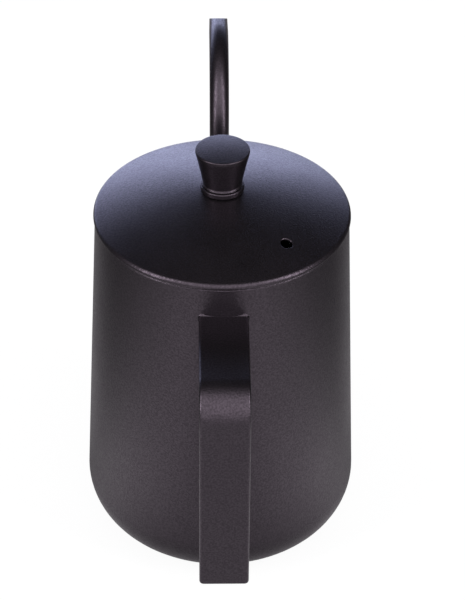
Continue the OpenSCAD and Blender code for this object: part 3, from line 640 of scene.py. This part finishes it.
def lid_outline():
    """(radius, height) once round the lid's section, and the rows that flank the vent.

    Out over the dome, round the rolled edge, down the band, round its lip, and back the same
    way a sheet's thickness further in.
    """
    vent = VENT_OFFSET + np.arange(-VENT_CELLS // 2, VENT_CELLS // 2 + 1) * VENT_CELL
    tangent = EDGE_X + LID_EDGE_R * math.sin(DOME_SLOPE)
    inner_tangent = EDGE_X + (LID_EDGE_R - LID_T) * math.sin(DOME_SLOPE)
    near_hole = [SCREW_HOLE_R, 4 * MM, 6.5 * MM]
    before = np.concatenate([near_hole, np.linspace(8.5 * MM, vent[0], 22)[:-1]])
    after = np.linspace(vent[-1], tangent, 9)[1:-1]
    roll = np.linspace(math.pi / 2 - DOME_SLOPE, 0, 15)
    lip = np.linspace(0, math.pi, 9)
    lip_r = LID_T / 2
    lip_z = LID_BOTTOM + LIP_RISE + lip_r
    top_r = np.concatenate([before, vent, after])
    low_r = top_r[top_r < inner_tangent][::-1]
    rows = [
        np.stack([top_r, dome_height(top_r)], -1),
        np.stack([EDGE_X + LID_EDGE_R * np.cos(roll), EDGE_Z + LID_EDGE_R * np.sin(roll)], -1),
        np.stack([LID_R - lip_r + lip_r * np.cos(lip), lip_z - lip_r * np.sin(lip)], -1),
        np.stack([EDGE_X + (LID_EDGE_R - LID_T) * np.cos(roll[::-1]),
                  EDGE_Z + (LID_EDGE_R - LID_T) * np.sin(roll[::-1])], -1),
        np.stack([low_r, dome_height(low_r, LID_T)], -1),
    ]
    top_row = len(before)
    low_row = sum(len(part) for part in rows) - 1 - len(before)
    return np.vstack(rows), top_row, low_row


def make_lid(finish):
    """The lid's outer pressing: a turned sheet whose grid opens round the steam vent.

    A square of VENT_CELLS by VENT_CELLS is left out of the grid on both faces. A tube joins
    the two gaps: its rows slide from the gap's square edge to the vent's circle on the dome,
    dip over a small rounded edge, and run down the hole.
    """
    gap = VENT_CELLS
    outline, top_row, low_row = lid_outline()
    rows = turned(outline, LID_SIDES)
    turn = VENT_ANGLE - gap / 2 * math.tau / LID_SIDES
    c, s = math.cos(turn), math.sin(turn)
    rows = rows @ np.array([[c, s, 0], [-s, c, 0], [0, 0, 1]])
    n = len(rows)
    numbers = np.arange(n * LID_SIDES).reshape(n, LID_SIDES)
    faces = quads_between(numbers, np.roll(numbers, -1, 0)).reshape(n, LID_SIDES, 4)
    keep = np.ones((n, LID_SIDES), bool)
    keep[top_row:top_row + gap, :gap] = False
    keep[low_row - gap:low_row, :gap] = False
    faces = faces[keep]
    points = rows.reshape(-1, 3)

    step = np.arange(gap)
    ring_row = np.concatenate([0 * step, step, 0 * step + gap, gap - step])
    ring_col = np.concatenate([step, 0 * step + gap, gap - step, 0 * step])
    top_edge = numbers[top_row + ring_row, ring_col]
    low_edge = numbers[low_row - ring_row, ring_col]
    centre = VENT_OFFSET * np.array([math.cos(VENT_ANGLE), math.sin(VENT_ANGLE)])
    flat = points[top_edge][:, :2] - centre
    toward = flat / np.linalg.norm(flat, axis=1)[:, None]
    hole = toward * (VENT_R + VENT_EDGE_R)

    def on_dome(offset, inset, drop=0.0):
        """Points off the vent's middle, laid on the dome's skin or a depth under it."""
        place = centre + offset
        return np.column_stack([place, dome_height(np.linalg.norm(place, axis=1), inset) - drop])

    slide = np.linspace(0, 1, 6)[1:]
    tube = [on_dome(flat + (hole - flat) * k, 0) for k in slide]
    tube += [on_dome(toward * (VENT_R + VENT_EDGE_R * (1 - math.sin(a))), 0,
                     VENT_EDGE_R * (1 - math.cos(a)))
             for a in np.linspace(0, math.pi / 2, 6)[1:]]
    low_hole = toward * VENT_R
    tube += [on_dome(low_hole + (flat - low_hole) * k, LID_T) for k in np.linspace(0, 1, 6)[:-1]]
    first = len(points) + np.arange(len(tube) * len(flat)).reshape(len(tube), -1)
    stack = np.vstack([top_edge, first, low_edge])
    points = np.vstack([points, *tube])
    faces = [np.vstack([faces, quads_between(stack[:-1], stack[1:])])]
    return add_piece("lid_dome", points, faces, "lid", finish, ["lid_disc"])


def make_rim(finish):
    """The mouth's rolled edge: a ring of round section that just covers the top of the wall.

    Its radius is half the sheet and RIM_PROUD, and it wears the body's own finish.
    """
    middle = np.array([wall_radius(RIM_Z) - WALL_T / 2 * math.hypot(1, WALL_RUN), RIM_Z])
    a = np.arange(24)[:, None] / 24 * math.tau
    outline = middle + (WALL_T / 2 + RIM_PROUD) * np.hstack([np.cos(a), np.sin(a)])
    points, faces = skin(turned(outline, LID_SIDES), end="joined")
    return add_piece("rim_bead", points, faces, "kettle", finish, [])


def make_knob(finish):
    """The turned knob: a bead at the waist, a slightly hollow flank, a soft edge, a flat crown.

    The flank is a chord bent inwards by 4 * t * (1 - t) times its depth, and the crown falls
    by the square of the radius.
    """
    a = np.linspace(-math.pi / 2, 1.0, 12)[:, None]
    bead = KNOB_BEAD_R * np.hstack([np.cos(a), np.sin(a)])
    bead += (WAIST_R - KNOB_BEAD_IN, KNOB_Z + KNOB_BEAD_R)
    t = np.linspace(0, 1, 15)[:, None]
    low = np.array([WAIST_R, KNOB_Z + 2 * KNOB_BEAD_R])
    chord = np.array([KNOB_R, KNOB_TOP - KNOB_DISH - 2 * KNOB_EDGE_R]) - low
    inward = np.array([-chord[1], chord[0]]) / np.linalg.norm(chord)
    flank = low + t * chord + 4 * t * (1 - t) * KNOB_HOLLOW * inward
    a = np.linspace(1.1 - math.pi / 2, math.pi / 2, 12)[:, None]
    crown_r = KNOB_R - KNOB_EDGE_R
    edge = KNOB_EDGE_R * np.hstack([np.cos(a), np.sin(a)])
    edge += (crown_r, KNOB_TOP - KNOB_DISH - KNOB_EDGE_R)
    r = np.linspace(crown_r, 0.4 * MM, 12)[1:, None]
    crown = np.hstack([r, KNOB_TOP - KNOB_DISH * (r / crown_r) ** 2])
    bore = rounded_line([(SCREW_HOLE_R, KNOB_Z + KNOB_BORE), (SCREW_HOLE_R, KNOB_Z),
                         (WAIST_R - KNOB_BEAD_R, KNOB_Z)],
                        [SOFT_EDGE_R], ease=0.03 * MM)
    outline = np.vstack([bore, bead, flank, edge, crown])
    points, faces = skin(turned(outline, KNOB_SIDES), start="point", end="point")
    return add_piece("knob_turned", points, faces, "lid", finish, ["knob"])


def make_collar(finish):
    """The collar under the knob: a flat washer with a soft upper edge, bored for the screw."""
    low, high, wide = COLLAR_LOW.z, COLLAR_HIGH.z, COLLAR_HIGH.x
    half = (low + high) / 2
    outline = rounded_line([(SCREW_HOLE_R, half), (SCREW_HOLE_R, low), (wide, low),
                            (wide, high), (SCREW_HOLE_R, high), (SCREW_HOLE_R, half)],
                           [SOFT_EDGE_R, SOFT_EDGE_R, COLLAR_EDGE_R, SOFT_EDGE_R])
    points, faces = skin(turned(outline[:-1], KNOB_SIDES), end="joined")
    return add_piece("collar_ring", points, faces, "lid", finish, ["knob_collar"])


# ---- studio ----

# where each light of the room lies, how bright it is, and the cosine or height at which it ends
ROOM_LIGHT = 2.25
ROOM_WAY = (0.0, -0.80, 0.60)
ROOM_END = 0.5
WINDOW_LIGHT = tuple(5.2 * c for c in linear("#cfddff")[:3])
WINDOW_WAY = (-0.17, 0.985, 0.0)
WINDOW_END = 0.68
WINDOW_SILL, WINDOW_HEAD = 0.18, 0.6
FLOOR_LIGHT = 1.85
FLOOR_WHITE = 0.93
FLOOR_SIZE = 8.0
FLOOR_DROP = 0.05 * MM
FLOOR_HALFWAY = 200 * MM
SHADOW_SIDE = 20 * MM, 110 * MM
SHADOW_UNDER = 60 * MM, 115 * MM
OVERHEAD_PLACE, OVERHEAD_WATTS = (0.25, -0.9, 1.6), 4.0
SOFTBOX_X, SOFTBOX_Y, SOFTBOX_Z = 1.1, -0.65, 0.75
SOFTBOX_WATTS = 14.0
AIM = (0, 0, 0.1)


def make_floor():
    """A wide pale floor, white to the eye with a soft shadow.

    In the gloss it is dim under the jug, behind it and along x = 0, where the jug's own soft
    shadow lies, and it darkens with distance, most of all to the sides. Its strength is
    FLOOR_LIGHT * (0.75 - (q - 0.3) * (0.3 + 2 * x^2 / r^2)) times the three shadows, where
    q = r / (r + FLOOR_HALFWAY).
    """
    mesh = bpy.data.meshes.new("floor")
    corners = np.array([(-1, -1, 0), (1, -1, 0), (1, 1, 0), (-1, 1, 0)]) * FLOOR_SIZE / 2
    mesh.from_pydata((corners + (0, 0, -FLOOR_DROP)).tolist(), [], [(0, 1, 2, 3)])
    material = bpy.data.materials.new("pale_floor")
    material.use_nodes = True
    tree = material.node_tree
    tree.nodes.clear()
    place = add(tree, "TexCoord").outputs["Object"]
    way = add(tree, "VectorMath", {"operation": "NORMALIZE"}, i0=place)
    bearing = add(tree, "SeparateXYZ", Vector=way.outputs["Vector"])
    square = add(tree, "Math", {"operation": "MULTIPLY"}, i0=bearing.outputs["X"],
                 i1=bearing.outputs["X"])
    behind = add(tree, "MapRange", {"interpolation_type": "SMOOTHSTEP", "From Min": -0.5,
                                    "From Max": 0.3, "To Min": 1.0, "To Max": 0.4},
                 Value=bearing.outputs["Y"])
    slope = add(tree, "Math", {"operation": "MULTIPLY_ADD", 1: -2.0, 2: -0.3},
                i0=square.outputs["Value"])
    radius = add(tree, "VectorMath", {"operation": "LENGTH"}, i0=place).outputs["Value"]
    beyond = add(tree, "Math", {"operation": "ADD", 1: FLOOR_HALFWAY}, i0=radius)
    q = add(tree, "Math", {"operation": "DIVIDE"}, i0=radius, i1=beyond.outputs["Value"])
    run = add(tree, "Math", {"operation": "SUBTRACT", 1: 0.3}, i0=q.outputs["Value"])
    fall = add(tree, "Math", {"operation": "MULTIPLY_ADD", 2: 0.75}, i0=slope.outputs["Value"],
               i1=run.outputs["Value"])
    lit = add(tree, "Math", {"operation": "MAXIMUM", 1: 0.1}, i0=fall.outputs["Value"])
    offset = add(tree, "SeparateXYZ", Vector=place).outputs["X"]
    middle = add(tree, "Math", {"operation": "ABSOLUTE"}, i0=offset)
    shadow = add(tree, "MapRange", {"interpolation_type": "SMOOTHSTEP", "From Min": SHADOW_SIDE[0],
                                    "From Max": SHADOW_SIDE[1], "To Min": 0.55, "To Max": 1.0},
                 Value=middle.outputs["Value"])
    under = add(tree, "MapRange", {"interpolation_type": "SMOOTHSTEP", "From Min": SHADOW_UNDER[0],
                                   "From Max": SHADOW_UNDER[1], "To Min": 0.5, "To Max": 1.0},
                Value=radius)
    shade = add(tree, "Math", {"operation": "MULTIPLY"}, i0=shadow.outputs["Result"],
                i1=under.outputs["Result"])
    dim = add(tree, "Math", {"operation": "MULTIPLY"}, i0=shade.outputs["Value"],
              i1=behind.outputs["Result"])
    part = add(tree, "Math", {"operation": "MULTIPLY", 1: FLOOR_LIGHT}, i0=lit.outputs["Value"])
    glow = add(tree, "Math", {"operation": "MULTIPLY"}, i0=part.outputs["Value"],
               i1=dim.outputs["Value"])
    paint = add(tree, "BsdfDiffuse", {"Color": linear("#f7f7f8")})
    white = add(tree, "Emission", {"Color": (1, 1, 1, 1), "Strength": 1.0})
    gloss = add(tree, "Emission", {"Color": (1, 1, 1, 1)}, Strength=glow.outputs["Value"])
    path = add(tree, "LightPath")
    share = add(tree, "Math", {"operation": "MULTIPLY", 1: FLOOR_WHITE},
                i0=path.outputs["Is Camera Ray"])
    seen = add(tree, "MixShader", Fac=share.outputs["Value"], i1=paint.outputs["BSDF"],
               i2=white.outputs["Emission"])
    mixed = add(tree, "MixShader", Fac=path.outputs["Is Glossy Ray"], i1=seen.outputs["Shader"],
                i2=gloss.outputs["Emission"])
    add(tree, "OutputMaterial", Surface=mixed.outputs["Shader"])
    material.cycles.emission_sampling = "NONE"
    mesh.materials.append(material)
    floor = bpy.data.objects.new("floor", mesh)
    bpy.context.scene.collection.objects.link(floor)


def make_world():
    """White to the eye, an even light on paint, and a room with a window in the gloss.

    The gloss sees a lit room on the camera's side, brightest a third of the way up, and a low
    wide window of skylight behind the jug, a little to the left. Each fades by a smooth step
    on the cosine of the angle from its middle.
    """
    world = bpy.data.worlds.new("studio")
    bpy.context.scene.world = world
    world.use_nodes = True
    tree = world.node_tree
    tree.nodes.clear()
    look = add(tree, "TexCoord").outputs["Generated"]
    axes = add(tree, "SeparateXYZ", Vector=look)
    inward = add(tree, "VectorMath", {"operation": "DOT_PRODUCT", 1: ROOM_WAY}, i0=look)
    near = add(tree, "MapRange", {"interpolation_type": "SMOOTHSTEP", "From Min": ROOM_END,
                                  "From Max": 1.0}, Value=inward.outputs["Value"])
    toward = add(tree, "VectorMath", {"operation": "DOT_PRODUCT", 1: WINDOW_WAY}, i0=look)
    across = add(tree, "MapRange", {"interpolation_type": "SMOOTHSTEP", "From Min": WINDOW_END,
                                    "From Max": 1.0}, Value=toward.outputs["Value"])
    upward = add(tree, "MapRange", {"From Min": WINDOW_SILL, "From Max": WINDOW_HEAD,
                                    "To Min": 1.0, "To Max": 0.0}, Value=axes.outputs["Z"])
    pane = add(tree, "Math", {"operation": "MULTIPLY"}, i0=across.outputs["Result"],
               i1=upward.outputs["Result"])
    room = add(tree, "VectorMath", {"operation": "SCALE", 0: (ROOM_LIGHT,) * 3},
               Scale=near.outputs["Result"])
    window = add(tree, "VectorMath", {"operation": "SCALE", 0: WINDOW_LIGHT},
                 Scale=pane.outputs["Value"])
    both = add(tree, "VectorMath", {"operation": "ADD"}, i0=room.outputs["Vector"],
               i1=window.outputs["Vector"])
    studio = add(tree, "Background", Color=both.outputs["Vector"])
    even = add(tree, "Background", {"Color": linear("#f8f7fa"), "Strength": 0.92})
    white = add(tree, "Background", {"Color": (1, 1, 1, 1), "Strength": 1.0})
    path = add(tree, "LightPath")
    lit = add(tree, "MixShader", Fac=path.outputs["Is Glossy Ray"], i1=even.outputs["Background"],
              i2=studio.outputs["Background"])
    seen = add(tree, "MixShader", Fac=path.outputs["Is Camera Ray"], i1=lit.outputs["Shader"],
               i2=white.outputs["Background"])
    add(tree, "OutputWorld", Surface=seen.outputs["Shader"])
    world.cycles.sampling_method = "NONE"


def make_lamp(name, place, width, height, watts):
    """A softbox: a white area lamp at a place, turned to face the middle of the jug."""
    data = bpy.data.lights.new(name, "AREA")
    data.shape = "RECTANGLE"
    data.size, data.size_y = width, height
    data.energy = watts
    lamp = bpy.data.objects.new(name, data)
    bpy.context.scene.collection.objects.link(lamp)
    back = np.array(place, float) - np.array(AIM, float)
    back /= np.linalg.norm(back)
    right = np.cross((0, 0, 1), back)
    right /= np.linalg.norm(right)
    up = np.cross(back, right)
    lamp.matrix_world = facing(right, up, back, place)
    return lamp


def make_studio():
    """A soft light overhead for the shadow, and a softbox to each side of the camera."""
    make_floor()
    make_world()
    overhead = make_lamp("overhead_light", OVERHEAD_PLACE, 1.0, 0.7, OVERHEAD_WATTS)
    overhead.visible_glossy = False
    for name, x in (("left_softbox", -SOFTBOX_X), ("right_softbox", SOFTBOX_X)):
        make_lamp(name, (x, SOFTBOX_Y, SOFTBOX_Z), 0.3, 1.5, SOFTBOX_WATTS)


bpy.context.scene.view_settings.view_transform = "Standard"
make_camera()
finishes = make_materials()
body_finish = finish_nodes(finishes)
coating = finishes["black_coating"]
make_strap(coating)
make_spout(coating)
make_fairing(coating)
make_lid(coating)
make_knob(coating)
make_rim(body_finish)
make_collar(coating)
make_studio()
